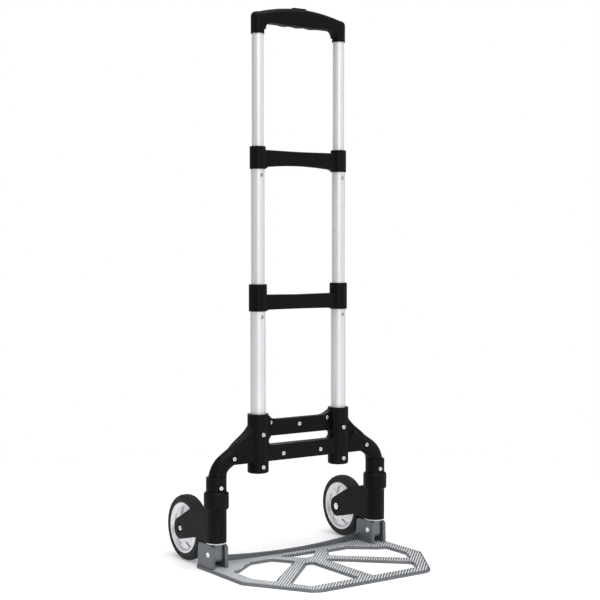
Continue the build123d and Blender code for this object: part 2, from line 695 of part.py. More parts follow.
for side, name in side_names.items():
    x = side * leg_x

    with BuildPart() as leg_tube:
        add(swept_leg(side, leg_radius, leg_radius - leg_wall))
        for hole in tube_screws:
            if hole[0] * side > 120:
                add(front_rod(hole[0], hole[1], screw_hole, -leg_radius - 2, -5), mode=Mode.SUBTRACT)
    save(leg_tube, f"leg_tube_{name}")

    with BuildPart() as foot_tang:
        with BuildSketch(side_view(x)):
            with Locations((0, tang_bottom + tang_half_depth)):
                Circle(tang_half_depth)
            with Locations((0, (tang_bottom + tang_half_depth + leg_bottom) / 2)):
                Rectangle(2 * tang_half_depth, leg_bottom - tang_bottom - tang_half_depth)
        extrude(amount=tang_half_width, both=True)
        with BuildSketch(level(x, leg_bottom - 0.5)):
            Circle(leg_radius - leg_wall - fit_gap)
        extrude(amount=28)
        with BuildSketch(side_view(x)):
            with Locations((0, hinge_z)):
                Circle(hinge_pin_radius + running_gap)
        extrude(amount=20, both=True, mode=Mode.SUBTRACT)
    save(foot_tang, f"foot_tang_{name}")

    with BuildPart() as hinge_pin:
        pin_half = ear_inside + ear_thickness
        with BuildSketch(across(x, hinge_z, 0)):
            Circle(hinge_pin_radius)
        extrude(amount=pin_half, both=True)
        for end in (-1, 1):
            with BuildSketch(across(x + end * pin_half, hinge_z, 0)):
                Circle(5.2)
            extrude(amount=end * 1.6)
        ends = hinge_pin.edges().filter_by(GeomType.CIRCLE).group_by(Axis.X)
        fillet(ends[0] + ends[-1], 1.0)
    save(hinge_pin, f"hinge_pin_{name}")

    with BuildPart() as retaining_ring:
        add(upright_ring(x, leg_bottom, 49.6, 17.0, leg_radius + fit_gap))
    save(retaining_ring, f"retaining_ring_{name}")

    with BuildPart() as thrust_washer:
        add(upright_ring(x, sleeve_top + 0.4, ring_bottom - fit_gap, ring_radius, leg_radius + fit_gap))
    save(thrust_washer, f"thrust_washer_{name}")

    with BuildPart() as wheel_bracket:
        with BuildSketch(side_view(x)):
            Polygon(
                (0, sleeve_bottom), (sleeve_radius, sleeve_bottom), (sleeve_radius, collar_bottom - 1),
                (collar_radius, collar_bottom + 3), (collar_radius, sleeve_top - 3),
                (collar_radius - 3, sleeve_top), (0, sleeve_top), align=None,
            )
        revolve(axis=Axis((x, leg_y, 0), (0, 0, 1)))
        for arm in (-1, 1):
            with BuildSketch(side_view(x + arm * fork_inside)):
                with BuildLine():
                    Polyline((0, 112), (17, 112), fork_knee, fork_top_tangent)
                    tip = (wheel_back + fork_tip_radius, axle_z)
                    ThreePointArc(fork_top_tangent, tip, fork_low_tangent)
                    Polyline(fork_low_tangent, fork_heel, (17, sleeve_bottom), (0, sleeve_bottom), (0, 112))
                make_face()
            extrude(amount=arm * (sleeve_radius - fork_inside))
        with BuildSketch(side_view(x)):
            with BuildLine():
                Polyline((0, sleeve_bottom), (17, sleeve_bottom), fork_heel, (42, 106), (17, 112), (0, 112))
                Line((0, 112), (0, sleeve_bottom))
            make_face()
            with Locations(axle_centre):
                Circle(tyre_radius + 2.5, mode=Mode.SUBTRACT)
        extrude(amount=fork_inside, both=True)
        with BuildSketch(level(x, sleeve_bottom)):
            Circle(leg_radius + 0.08)
        extrude(amount=sleeve_top - sleeve_bottom, mode=Mode.SUBTRACT)
        with BuildSketch(across(x, axle_z, wheel_back)):
            Circle(axle_radius + fit_gap)
        extrude(amount=sleeve_radius, both=True, mode=Mode.SUBTRACT)
        for arm in (-1, 1):
            with BuildSketch(across(x + arm * (sleeve_radius - fork_recess), axle_z, wheel_back)):
                Circle(7.6)
            extrude(amount=arm * 3, mode=Mode.SUBTRACT)
    save(wheel_bracket, f"wheel_bracket_{name}")

    head_face = x + side * (sleeve_radius - fork_recess)
    nut_face = x - side * (sleeve_radius - fork_recess)
    with BuildPart() as axle_bolt:
        with BuildSketch(across(head_face, axle_z, wheel_back)):
            Circle(axle_radius)
        extrude(amount=-side * (2 * (sleeve_radius - fork_recess) + 4.0))
        with BuildSketch(across(head_face, axle_z, wheel_back)):
            Circle(4.8)
        extrude(amount=side * 1.8)
        outer_rim = axle_bolt.faces().sort_by(Axis.X)[-1 if side > 0 else 0]
        fillet(outer_rim.edges(), 1.0)
        with BuildSketch(across(head_face + side * 1.8, axle_z, wheel_back)):
            RegularPolygon(2.4, 6)
        extrude(amount=-side * 1.2, mode=Mode.SUBTRACT)
    save(axle_bolt, f"axle_bolt_{name}")

    with BuildPart() as axle_nut:
        with BuildSketch(across(nut_face, axle_z, wheel_back)):
            RegularPolygon(6.9, 6)
            Circle(axle_radius + fit_gap, mode=Mode.SUBTRACT)
        extrude(amount=-side * 3.4)
    save(axle_nut, f"axle_nut_{name}")

    wheel_axis = Axis((x, leg_y + wheel_back, axle_z), (1, 0, 0))
    wheel_section = Plane(origin=(x, leg_y + wheel_back, axle_z), x_dir=(1, 0, 0), z_dir=(0, -1, 0))
    with BuildPart() as wheel_hub:
        with BuildSketch(wheel_section):
            with BuildLine():
                Polyline(
                    (0, 5.2), (6.4, 5.2), (6.4, bearing_radius + fit_gap),
                    (hub_half_width, bearing_radius + fit_gap), (hub_half_width, 13), (11.5, 15),
                    (8.2, 17), (7.0, 38), (rim_half_width, 42.6), (rim_half_width, rim_radius),
                    (8.6, rim_radius), (8.0, seat_radius), (0, seat_radius),
                )
                mirror(about=Plane.YZ)
            make_face()
        revolve(axis=wheel_axis)
        # shallow pockets that leave five broad spokes on each face
        for face in (-1, 1):
            with BuildSketch(across(x + face * 5.2, axle_z, wheel_back)) as pockets:
                with PolarLocations(0, 5, start_angle=18):
                    with Locations((28, 0)):
                        Trapezoid(34, 20, 62, rotation=-90)
                fillet(pockets.vertices(), 5)
            extrude(amount=face * 4, mode=Mode.SUBTRACT)
    save(wheel_hub, f"wheel_hub_{name}")

    with BuildPart() as tyre:
        with BuildSketch(wheel_section) as tyre_section:
            seat = seat_radius + 0.1
            with BuildLine():
                Polyline(
                    (0, seat), (7.8, seat), (8.5, rim_radius + 0.1),
                    (wheel_half_width - 1.0, rim_radius + 0.1), (wheel_half_width, 50),
                )
                ThreePointArc((wheel_half_width, 50), (wheel_half_width - 1.9, 55.6), (8.0, 58.3))
                ThreePointArc((8.0, 58.3), (4.0, 58.85), (0, tyre_radius))
                mirror(about=Plane.YZ)
            make_face()
            with Locations((-6, tyre_radius), (-2, tyre_radius), (2, tyre_radius), (6, tyre_radius)):
                Rectangle(0.9, 2.2, mode=Mode.SUBTRACT)
        revolve(axis=wheel_axis)
    save(tyre, f"tyre_{name}")

    with BuildPart() as wheel_bearings:
        for end in (-1, 1):
            with BuildSketch(across(x + end * 6.6, axle_z, wheel_back)):
                Circle(bearing_radius)
                Circle(axle_radius + running_gap, mode=Mode.SUBTRACT)
            extrude(amount=end * (hub_half_width - 6.6))
    save(wheel_bearings, f"wheel_bearings_{name}")
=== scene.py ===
import json
import math

import bmesh
import bpy
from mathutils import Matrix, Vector


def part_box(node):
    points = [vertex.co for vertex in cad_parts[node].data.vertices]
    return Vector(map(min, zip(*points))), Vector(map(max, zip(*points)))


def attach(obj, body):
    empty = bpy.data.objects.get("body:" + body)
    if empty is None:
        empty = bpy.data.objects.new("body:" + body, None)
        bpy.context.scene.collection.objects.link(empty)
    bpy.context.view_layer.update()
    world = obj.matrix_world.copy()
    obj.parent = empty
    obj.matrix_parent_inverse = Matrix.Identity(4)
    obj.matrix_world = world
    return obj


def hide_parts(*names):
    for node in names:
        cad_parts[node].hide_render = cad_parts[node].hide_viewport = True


bl_info = {
    "name": "Folding luggage cart",
    "version": (1, 0, 0),
    "blender": (4, 5, 0),
    "location": "3D View > Sidebar > Cart",
    "description": "Finishes and fine details of a folding luggage cart, and its studio",
    "category": "Object",
}

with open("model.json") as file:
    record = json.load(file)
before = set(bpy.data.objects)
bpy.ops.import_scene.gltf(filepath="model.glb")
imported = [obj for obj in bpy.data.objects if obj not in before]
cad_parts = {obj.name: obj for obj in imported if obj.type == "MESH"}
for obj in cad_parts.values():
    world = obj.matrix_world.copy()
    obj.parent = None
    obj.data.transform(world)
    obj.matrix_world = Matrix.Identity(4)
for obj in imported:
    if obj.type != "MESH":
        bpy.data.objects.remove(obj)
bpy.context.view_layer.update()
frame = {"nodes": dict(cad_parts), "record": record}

MM = 0.001
SIDES = ("left", "right")
SLOT_OF_NODE = {row["node"]: row["material_slot"] for row in frame["record"]["subparts"]}


# ---- sizes and colours that a user would change ----
def colour_property(name, description, default):
    """A colour swatch in linear red, green and blue."""
    return bpy.props.FloatVectorProperty(
        name=name, description=description, default=default, subtype="COLOR", size=3, min=0.0, max=1.0
    )


def length_property(name, description, default):
    """A length in metres."""
    return bpy.props.FloatProperty(
        name=name, description=description, default=default, min=0.0, unit="LENGTH", subtype="DISTANCE"
    )


class CartColours(bpy.types.PropertyGroup):
    """Base colour of each finish."""

    plastic: colour_property("Plastic", "Black moulded parts", (0.0022, 0.0032, 0.0042))
    tube: colour_property("Tubes", "Anodised aluminium of the telescopic tubes", (0.84, 0.86, 0.88))
    plate: colour_property("Toe plate", "Cast aluminium of the plate and its ears", (0.155, 0.165, 0.18))
    tread: colour_property("Tread", "Bright tops of the ribs on the plate", (0.90, 0.92, 0.94))
    steel: colour_property("Fixings", "Bright plated screws, bolts, pins and springs", (0.78, 0.79, 0.80))
    leg: colour_property("Legs", "Powder coat of the leg tubes", (0.016, 0.018, 0.020))
    tang: colour_property("Feet", "Dull cast metal of the hinge tangs", (0.21, 0.225, 0.23))
    rubber: colour_property("Tyres", "Black rubber", (0.010, 0.011, 0.012))
    rim: colour_property("Wheel rims", "Glossy silver of the wheel centres", (0.74, 0.75, 0.77))
    nylon: colour_property("Guides", "Natural nylon of the guide rings and bearings", (0.80, 0.81, 0.82))


class CartTread(bpy.types.PropertyGroup):
    """Ribs cast on top of the toe plate."""

    pitch: length_property("Pitch", "Distance from one rib to the next", 4.6 * MM)
    width: length_property("Width", "Width of a rib at its foot", 2.3 * MM)
    height: length_property("Height", "Height of a rib", 1.0 * MM)
    margin: length_property("Margin", "Plain border left inside every edge", 1.0 * MM)
    angle: bpy.props.FloatProperty(
        name="Angle", description="Direction of the ribs, from across the cart", default=math.radians(45),
        subtype="ANGLE", unit="ROTATION",
    )


class CartTyre(bpy.types.PropertyGroup):
    """Fine grooves that run round each tyre."""

    spacing: length_property("Spacing", "Distance between grooves along the section", 3.1 * MM)
    width: length_property("Width", "Width of a groove", 1.1 * MM)
    depth: length_property("Depth", "Depth of a groove", 0.9 * MM)
    segments: bpy.props.IntProperty(name="Segments", description="Steps round the wheel", default=120, min=24)


class CartStudio(bpy.types.PropertyGroup):
    """Camera and lights."""

    camera_place: bpy.props.FloatVectorProperty(
        name="Camera", description="Where the camera stands", default=(-1.3607, -1.9130, 0.5651),
        subtype="TRANSLATION", unit="LENGTH", size=3,
    )
    camera_heading: bpy.props.FloatProperty(
        name="Heading", description="Turn of the camera about the upright", default=math.radians(-34.98),
        subtype="ANGLE", unit="ROTATION",
    )
    camera_dip: bpy.props.FloatProperty(
        name="Dip", description="How far the camera looks down", default=math.radians(2.34),
        subtype="ANGLE", unit="ROTATION",
    )
    focal_length: bpy.props.FloatProperty(
        name="Focal length", description="Lens in millimetres on a 36 mm frame", default=78.92, min=10.0
    )
    key_power: bpy.props.FloatProperty(
        name="Key", description="Power of the tall front light", default=26.0, min=0.0, unit="POWER"
    )
    top_power: bpy.props.FloatProperty(
        name="Top", description="Power of the overhead light", default=46.0, min=0.0, unit="POWER"
    )
    left_power: bpy.props.FloatProperty(
        name="Left", description="Power of the light on the left", default=5.6, min=0.0, unit="POWER"
    )
    right_power: bpy.props.FloatProperty(
        name="Right", description="Power of the light on the right", default=11.2, min=0.0, unit="POWER"
    )
    back_power: bpy.props.FloatProperty(
        name="Back", description="Power of the light behind the cart", default=16.0, min=0.0, unit="POWER"
    )
    ambience: bpy.props.FloatProperty(
        name="Ambience", description="Strength of the pale surroundings", default=0.5, min=0.0
    )


# ---- materials: object coordinates are in metres, so the sizes given to nodes are real sizes ----
def new_finish(name, metallic, specular=0.5, coat=0.0, coat_roughness=0.1):
    """A material with the constant values of its shader set, and that shader."""
    material = bpy.data.materials.new(name)
    material.use_nodes = True
    shader = material.node_tree.nodes["Principled BSDF"]
    shader.inputs["Metallic"].default_value = metallic
    shader.inputs["Specular IOR Level"].default_value = specular
    shader.inputs["Coat Weight"].default_value = coat
    shader.inputs["Coat Roughness"].default_value = coat_roughness
    return material, shader


def node(material, kind, inputs=None, **settings):
    """Adds a shader node; an input may be a value or another node's output."""
    made = material.node_tree.nodes.new("ShaderNode" + kind)
    for name, value in settings.items():
        setattr(made, name, value)
    for name, value in (inputs or {}).items():
        if isinstance(value, bpy.types.NodeSocket):
            material.node_tree.links.new(value, made.inputs[name])
        else:
            made.inputs[name].default_value = value
    return made


def connect(material, shader, **outputs):
    """Links outputs to the shader's sockets; an underscore stands for a space."""
    for name, output in outputs.items():
        material.node_tree.links.new(output, shader.inputs[name.replace("_", " ")])


def place_of(material, stretch=(1.0, 1.0, 1.0)):
    """The object's own coordinates, optionally squeezed along an axis to draw a grain out."""
    own = node(material, "TexCoord").outputs["Object"]
    return node(material, "Mapping", {"Vector": own, "Scale": stretch}).outputs["Vector"]


def speckle(material, place, size, detail=3.0, roughness=0.55):
    """Cloudy noise whose features are about the given size."""
    inputs = {"Vector": place, "Scale": 1.0 / size, "Detail": detail, "Roughness": roughness}
    return node(material, "TexNoise", inputs).outputs["Fac"]


def pebbles(material, place, size):
    """Small closely packed cells, for a spark-etched or cast skin."""
    return node(material, "TexVoronoi", {"Vector": place, "Scale": 1.0 / size}).outputs["Distance"]


def spread(material, factor, low, high, start=0.3, end=0.7):
    """A factor remapped between two values."""
    inputs = {"Value": factor, "From Min": start, "From Max": end, "To Min": low, "To Max": high}
    return node(material, "MapRange", inputs).outputs["Result"]


def arithmetic(material, operation, first, second):
    """Two values joined by a sum, product or the like."""
    made = node(material, "Math", {0: first, 1: second}, operation=operation, use_clamp=False)
    return made.outputs["Value"]


def shade(colour, amount):
    """A colour made lighter or darker, as node values with alpha."""
    return tuple(min(1.0, channel * amount) for channel in colour) + (1.0,)


def blend(material, factor, first, second):
    """One colour turning into another."""
    made = node(material, "Mix", data_type="RGBA", clamp_factor=True)
    sockets = {"Factor": made.inputs["Factor"], "A": made.inputs[6], "B": made.inputs[7]}
    for name, value in (("Factor", factor), ("A", first), ("B", second)):
        if isinstance(value, bpy.types.NodeSocket):
            material.node_tree.links.new(value, sockets[name])
        else:
            sockets[name].default_value = value
    return made.outputs[2]


def rounded_edges(material, radius):
    """Normal that rounds sharp edges by a real radius."""
    return node(material, "Bevel", {"Radius": radius}, samples=4).outputs["Normal"]


def smooth_normal(material):
    """The shape's own normal, for surfaces whose gloss has to stay even."""
    return node(material, "NewGeometry").outputs["Normal"]


def edge_highlight_and_wear(material, rounded, patches):
    """Mask of the outer edges, broken up by patches, from the rounded and the true normal; it makes edges
    paler, partly as wear and partly as a painted edge highlight.
    """
    true = node(material, "NewGeometry").outputs["Normal"]
    dot = node(material, "VectorMath", {0: rounded, 1: true}, operation="DOT_PRODUCT").outputs["Value"]
    edge = spread(material, dot, 1.0, 0.0, 0.80, 0.985)
    return arithmetic(material, "MULTIPLY", edge, spread(material, patches, 0.0, 1.0, 0.42, 0.62))


def raised(material, height, size, normal, strength=1.0):
    """Bump of a real height."""
    inputs = {"Height": height, "Distance": size, "Strength": strength, "Normal": normal}
    return node(material, "Bump", inputs).outputs["Normal"]


def moulded_plastic(colour):
    """Satin black moulding: etched grain, slight gloss changes, paler edges that are partly scuffs and partly
    a painted edge highlight.
    """
    material, shader = new_finish("moulded_plastic", 0.0, specular=0.11)
    place = place_of(material)
    clouds = speckle(material, place, 60 * MM)
    smears = speckle(material, place_of(material, (1.0, 1.0, 0.25)), 9 * MM, 5.0)
    grain = pebbles(material, place, 0.55 * MM)
    rounded = rounded_edges(material, 0.6 * MM)
    highlight_and_wear = edge_highlight_and_wear(material, rounded, speckle(material, place, 5 * MM))
    body = blend(material, spread(material, clouds, 0.0, 1.0), shade(colour, 0.85), shade(colour, 1.3))
    # Edges made paler: partly scuffs, partly a painted edge highlight.
    highlighted_and_worn = blend(material, arithmetic(material, "MULTIPLY", highlight_and_wear, 0.5), body, shade(colour, 3.5))
    gloss = arithmetic(
        material, "ADD", spread(material, smears, 0.40, 0.54), spread(material, highlight_and_wear, 0.0, -0.06, 0, 1)
    )
    connect(
        material, shader, Base_Color=highlighted_and_worn, Roughness=gloss,
        Normal=raised(material, grain, 0.035 * MM, rounded, 0.55),
    )
    return material


def anodised_tube(colour):
    """Satin silver tube: fine lines drawn lengthwise, very faint bands and rubbed rings."""
    material, shader = new_finish("anodised_tube", 1.0)
    drawn = speckle(material, place_of(material, (1.0, 1.0, 0.012)), 0.35 * MM, 4.0, 0.7)
    streaks = speckle(material, place_of(material, (1.0, 1.0, 0.03)), 3.5 * MM, 4.0)
    rubbed = speckle(material, place_of(material, (0.15, 0.15, 1.0)), 2.4 * MM, 5.0)
    clouds = speckle(material, place_of(material), 90 * MM)
    tone = arithmetic(material, "MULTIPLY", streaks, clouds)
    connect(
        material, shader,
        Base_Color=blend(
            material, spread(material, tone, 0.0, 1.0, 0.15, 0.40), shade(colour, 0.975), shade(colour, 1.02)
        ),
        Roughness=arithmetic(
            material, "ADD", spread(material, drawn, 0.54, 0.59),
            spread(material, rubbed, 0.0, 0.03, 0.55, 0.75),
        ),
        Normal=raised(material, drawn, 0.0008 * MM, smooth_normal(material), 0.6),
    )
    return material


def cast_plate(colour):
    """Grey die casting: blasted skin, flow clouds, brighter edges that are partly rubbed metal and partly a
    painted edge highlight.
    """
    material, shader = new_finish("cast_plate", 0.55, specular=0.5)
    place = place_of(material)
    blasted = speckle(material, place, 0.7 * MM, 4.0, 0.7)
    pits = pebbles(material, place, 1.6 * MM)
    clouds = speckle(material, place, 45 * MM, 5.0, 0.6)
    rounded = rounded_edges(material, 0.5 * MM)
    highlight_and_wear = edge_highlight_and_wear(material, rounded, speckle(material, place, 6 * MM))
    body = blend(material, spread(material, clouds, 0.0, 1.0), shade(colour, 0.86), shade(colour, 1.16))
    rough = spread(material, clouds, 0.46, 0.58)
    skin = arithmetic(material, "ADD", blasted, spread(material, pits, 0.0, 0.5, 0.0, 0.25))
    # Edges made brighter: partly rubbed metal, partly a painted edge highlight.
    connect(
        material, shader,
        Base_Color=blend(material, highlight_and_wear, body, shade(colour, 2.2)),
        Roughness=arithmetic(material, "ADD", rough, spread(material, highlight_and_wear, 0.0, -0.16, 0, 1)),
        Normal=raised(material, skin, 0.04 * MM, rounded, 0.6),
    )
    return material


def polished_tread(colour):
    """Pale ribs rubbed bright by use, with faint scratches."""
    material, shader = new_finish("polished_tread", 0.15, specular=0.5)
    place = place_of(material)
    clouds = speckle(material, place, 30 * MM, 4.0)
    scratches = speckle(material, place_of(material, (1.0, 0.05, 1.0)), 0.5 * MM, 3.0)
    connect(
        material, shader,
        Base_Color=blend(
            material, spread(material, clouds, 0.0, 1.0), shade(colour, 0.82), shade(colour, 1.06)
        ),
        Roughness=spread(material, scratches, 0.28, 0.46),
        Normal=raised(material, scratches, 0.012 * MM, rounded_edges(material, 0.12 * MM), 0.6),
    )
    return material


def plated_steel(colour):
    """Bright zinc: fine turning marks and a faint haze."""
    material, shader = new_finish("plated_steel", 1.0)
    place = place_of(material)
    haze = speckle(material, place, 2.2 * MM, 5.0)
    turned = speckle(material, place_of(material, (1.0, 0.1, 1.0)), 0.25 * MM, 3.0)
    connect(
        material, shader,
        Base_Color=blend(
            material, spread(material, haze, 0.0, 1.0), shade(colour, 0.84), shade(colour, 1.08)
        ),
        Roughness=spread(material, haze, 0.14, 0.27),
        Normal=raised(material, turned, 0.004 * MM, rounded_edges(material, 0.2 * MM), 0.7),
    )
    return material


def coated_leg(colour):
    """Black powder coat with its fine orange peel, which takes the light softly."""
    material, shader = new_finish("coated_leg", 0.0, specular=0.2)
    place = place_of(material)
    peel = speckle(material, place, 1.3 * MM, 2.0, 0.4)
    clouds = speckle(material, place, 25 * MM)
    connect(
        material, shader,
        Base_Color=blend(
            material, spread(material, clouds, 0.0, 1.0), shade(colour, 0.8), shade(colour, 1.25)
        ),
        Roughness=spread(material, peel, 0.34, 0.46),
        Normal=raised(material, peel, 0.03 * MM, rounded_edges(material, 0.3 * MM), 0.7),
    )
    return material


def cast_tang(colour):
    """Dull as-cast metal, mottled, with bright edges in patches that are partly rubs and partly a painted
    edge highlight.
    """
    material, shader = new_finish("cast_tang", 0.6)
    place = place_of(material)
    skin = speckle(material, place, 0.5 * MM, 4.0, 0.75)
    mottle = speckle(material, place, 7 * MM, 5.0, 0.65)
    rounded = rounded_edges(material, 0.4 * MM)
    highlight_and_wear = edge_highlight_and_wear(material, rounded, speckle(material, place, 4 * MM))
    body = blend(material, spread(material, mottle, 0.0, 1.0), shade(colour, 0.78), shade(colour, 1.2))
    # Edges made brighter: partly rubs, partly a painted edge highlight.
    connect(
        material, shader,
        Base_Color=blend(material, highlight_and_wear, body, shade(colour, 2.4)),
        Roughness=spread(material, mottle, 0.42, 0.60),
        Normal=raised(material, skin, 0.035 * MM, rounded, 0.7),
    )
    return material


def tyre_rubber(colour):
    """Matt rubber: powdery bloom and a fine skin."""
    material, shader = new_finish("tyre_rubber", 0.0, specular=0.35)
    place = place_of(material)
    skin = speckle(material, place, 0.4 * MM, 3.0, 0.6)
    bloom = speckle(material, place, 11 * MM, 6.0, 0.65)
    connect(
        material, shader,
        Base_Color=blend(
            material, spread(material, bloom, 0.0, 1.0, 0.4, 0.7), shade(colour, 0.9), shade(colour, 2.1)
        ),
        Roughness=spread(material, bloom, 0.58, 0.76),
        Normal=raised(material, skin, 0.03 * MM, rounded_edges(material, 0.3 * MM), 0.6),
    )
    return material


def silver_rim(colour):
    """Glossy silver wheel centre: fine flakes under a thin clear coat."""
    material, shader = new_finish("silver_rim", 0.5, coat=0.3, coat_roughness=0.12)
    place = place_of(material)
    flakes = pebbles(material, place, 0.35 * MM)
    clouds = speckle(material, place, 14 * MM, 4.0)
    tone = arithmetic(
        material, "ADD", spread(material, clouds, 0.0, 0.6), spread(material, flakes, 0.0, 0.4, 0.0, 0.5)
    )
    connect(
        material, shader,
        Base_Color=blend(material, tone, shade(colour, 0.93), shade(colour, 1.06)),
        Roughness=spread(material, clouds, 0.24, 0.32),
        Normal=raised(material, flakes, 0.0015 * MM, smooth_normal(material), 0.4),
    )
    return material


def natural_nylon(colour):
    """Slightly waxy white nylon."""
    material, shader = new_finish("natural_nylon", 0.0, specular=0.4)
    shader.inputs["Subsurface Weight"].default_value = 0.12
    shader.inputs["Subsurface Scale"].default_value = 1.5 * MM
    place = place_of(material)
    clouds = speckle(material, place, 6 * MM, 4.0)
    turned = speckle(material, place_of(material, (0.1, 0.1, 1.0)), 0.3 * MM, 3.0)
    connect(
        material, shader,
        Base_Color=blend(
            material, spread(material, clouds, 0.0, 1.0), shade(colour, 0.90), shade(colour, 1.03)
        ),
        Roughness=spread(material, clouds, 0.34, 0.48),
        Normal=raised(material, turned, 0.01 * MM, rounded_edges(material, 0.2 * MM), 0.6),
    )
    return material


def studio_floor():
    """Pale matt floor that fades into the surroundings away from the cart."""
    material, shader = new_finish("studio_floor", 0.0, specular=0.1)
    shader.inputs["Emission Color"].default_value = (1.0, 1.0, 1.0, 1.0)
    shader.inputs["Emission Strength"].default_value = 0.22
    place = place_of(material)
    clouds = speckle(material, place, 0.6, 3.0)
    connect(
        material, shader,
        Base_Color=blend(material, clouds, (0.93, 0.93, 0.93, 1.0), (0.97, 0.97, 0.97, 1.0)),
        Roughness=spread(material, clouds, 0.8, 0.9),
    )
    distance = node(material, "VectorMath", {0: place}, operation="LENGTH").outputs["Value"]
    connect(material, shader, Alpha=spread(material, distance, 1.0, 0.0, 0.45, 1.3))
    return material


# ---- mesh helpers ----
def new_piece(name, mesh, material, body):
    """Links a finished mesh as a piece that rides on a body."""
    piece = bpy.data.objects.new(name, mesh)
    bpy.context.scene.collection.objects.link(piece)
    mesh.materials.append(material)
    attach(piece, body)
    return piece


def finish_nodes(slot, material):
    """Gives every shape of one material slot its finish."""
    found = [name for name, used in SLOT_OF_NODE.items() if used == slot]
    if not found:
        raise RuntimeError(f"no shape uses the slot {slot}")
    for name in found:
        materials = frame["nodes"][name].data.materials
        materials.clear()
        materials.append(material)


def mesh_from(name, build, sharp=math.radians(40)):
    """A mesh built by a function on a bmesh, smooth except at sharp turns."""
    working = bmesh.new()
    build(working)
    bmesh.ops.recalc_face_normals(working, faces=working.faces)
    mesh = bpy.data.meshes.new(name)
    working.to_mesh(mesh)
    working.free()
    for polygon in mesh.polygons:
        polygon.use_smooth = True
    mesh.set_sharp_from_angle(angle=sharp)
    return mesh


# ---- tread of the toe plate ----
def top_triangles(name):
    """Triangles of the largest level upper face of a shape, and its height."""
    mesh = frame["nodes"][name].data
    mesh.calc_loop_triangles()
    level = [triangle for triangle in mesh.loop_triangles if triangle.normal.z > 0.999]
    height = max(level, key=lambda triangle: triangle.area).center.z
    tops = [triangle for triangle in level if abs(triangle.center.z - height) < 0.2 * MM]
    return [[mesh.vertices[i].co for i in triangle.vertices] for triangle in tops], height


def runs_along(triangles, along, across, offset):
    """Stretches of a straight line that lie on the triangles, joined where they touch."""
    spans = []
    for corners in triangles:
        places = [(corner.dot(along), corner.dot(across) - offset) for corner in corners]
        cuts = []
        for (s0, d0), (s1, d1) in zip(places, places[1:] + places[:1]):
            if (d0 < 0) != (d1 < 0):
                cuts.append(s0 + (s1 - s0) * d0 / (d0 - d1))
        if len(cuts) == 2:
            spans.append((min(cuts), max(cuts)))
    runs = []
    for start, end in sorted(spans):
        if runs and start <= runs[-1][1] + 0.01 * MM:
            runs[-1] = (runs[-1][0], max(end, runs[-1][1]))
        else:
            runs.append((start, end))
    return runs


def shared_runs(first, second):
    """Stretches that are in both lists."""
    pairs = ((max(a[0], b[0]), min(a[1], b[1])) for a in first for b in second)
    return [(start, end) for start, end in pairs if end > start]


def add_rib(working, start, end, along, across, offset, height, tread):
    """One rounded rib with sloped ends, its foot just under the surface."""
    sunk = 0.1 * MM
    slope = min(tread.height * 1.6, (end - start) / 3)
    rings = []
    for place, size in ((start, 0.35), (start + slope, 1.0), (end - slope, 1.0), (end, 0.35)):
        ring = []
        for step in range(7):
            turn = math.pi * step / 6
            sideways = offset + math.cos(turn) * tread.width / 2 * (0.55 + 0.45 * size)
            up = height - sunk + (sunk + tread.height * size) * math.sin(turn) ** 0.8
            point = along * place + across * sideways
            ring.append(working.verts.new((point.x, point.y, up)))
        rings.append(ring)
    for first, second in zip(rings, rings[1:]):
        for i in range(7):
            j = (i + 1) % 7
            working.faces.new((first[i], first[j], second[j], second[i]))
    working.faces.new(rings[0])
    working.faces.new(rings[-1])


def build_tread(working, tread):
    """Ribs over the whole top of the toe plate, clear of every edge."""
    triangles, height = top_triangles("toe_plate")
    along = Vector((math.cos(tread.angle), math.sin(tread.angle), 0))
    across = Vector((-along.y, along.x, 0))
    reach = [corner.dot(across) for corners in triangles for corner in corners]
    side = tread.width / 2 + tread.margin * 0.6
    for count in range(math.ceil(min(reach) / tread.pitch), math.floor(max(reach) / tread.pitch) + 1):
        offset = count * tread.pitch
        runs = runs_along(triangles, along, across, offset)
        for edge in (offset - side, offset + side):
            runs = shared_runs(runs, runs_along(triangles, along, across, edge))
        for start, end in runs:
            if end - start > 2 * tread.margin + 2 * MM:
                add_rib(
                    working, start + tread.margin, end - tread.margin, along, across, offset, height, tread
                )


# ---- tyres ----
def tyre_section(half_width, radius, tyre):
    """Half of a tyre's section from the middle of the tread to the bead, as (across, radius)."""
    wall = 9 * MM
    crown = []
    for step in range(61):
        turn = math.pi / 2 * step / 60
        sideways = half_width * math.sin(turn) ** 0.78
        crown.append((sideways, radius - wall + wall * max(math.cos(turn), 0.0) ** 0.78))
    section, travelled = [], 0.0
    for i, (x, r) in enumerate(crown):
        before, after = crown[max(i - 1, 0)], crown[min(i + 1, 60)]
        if i:
            travelled += math.dist(crown[i - 1], (x, r))
        slope = Vector((after[0] - before[0], after[1] - before[1])).normalized()
        off = abs((travelled / tyre.spacing) % 1.0 - 0.5) * tyre.spacing
        depth = tyre.depth * max(0.0, math.cos(math.pi * off / tyre.width)) if off < tyre.width / 2 else 0.0
        section.append((x + slope.y * depth, r - slope.x * depth))
    bead = [(11.0, 45.4), (8.5, 45.4), (7.8, 41.1)]
    return section + [(x * MM, r * MM) for x, r in bead]


def build_tyre(working, centre, section, segments):
    """Turns a closed section about the wheel's axle, which runs across the cart."""
    outline = section + [(-x, r) for x, r in reversed(section) if x > 1e-6]
    rings = []
    for step in range(segments):
        turn = 2 * math.pi * step / segments
        ring = []
        for x, r in outline:
            place = Vector((x, r * math.sin(turn), r * math.cos(turn)))
            ring.append(working.verts.new(centre + place))
        rings.append(ring)
    count = len(outline)
    for step in range(segments):
        first, second = rings[step], rings[(step + 1) % segments]
        for i in range(count):
            j = (i + 1) % count
            working.faces.new((first[i], first[j], second[j], second[i]))


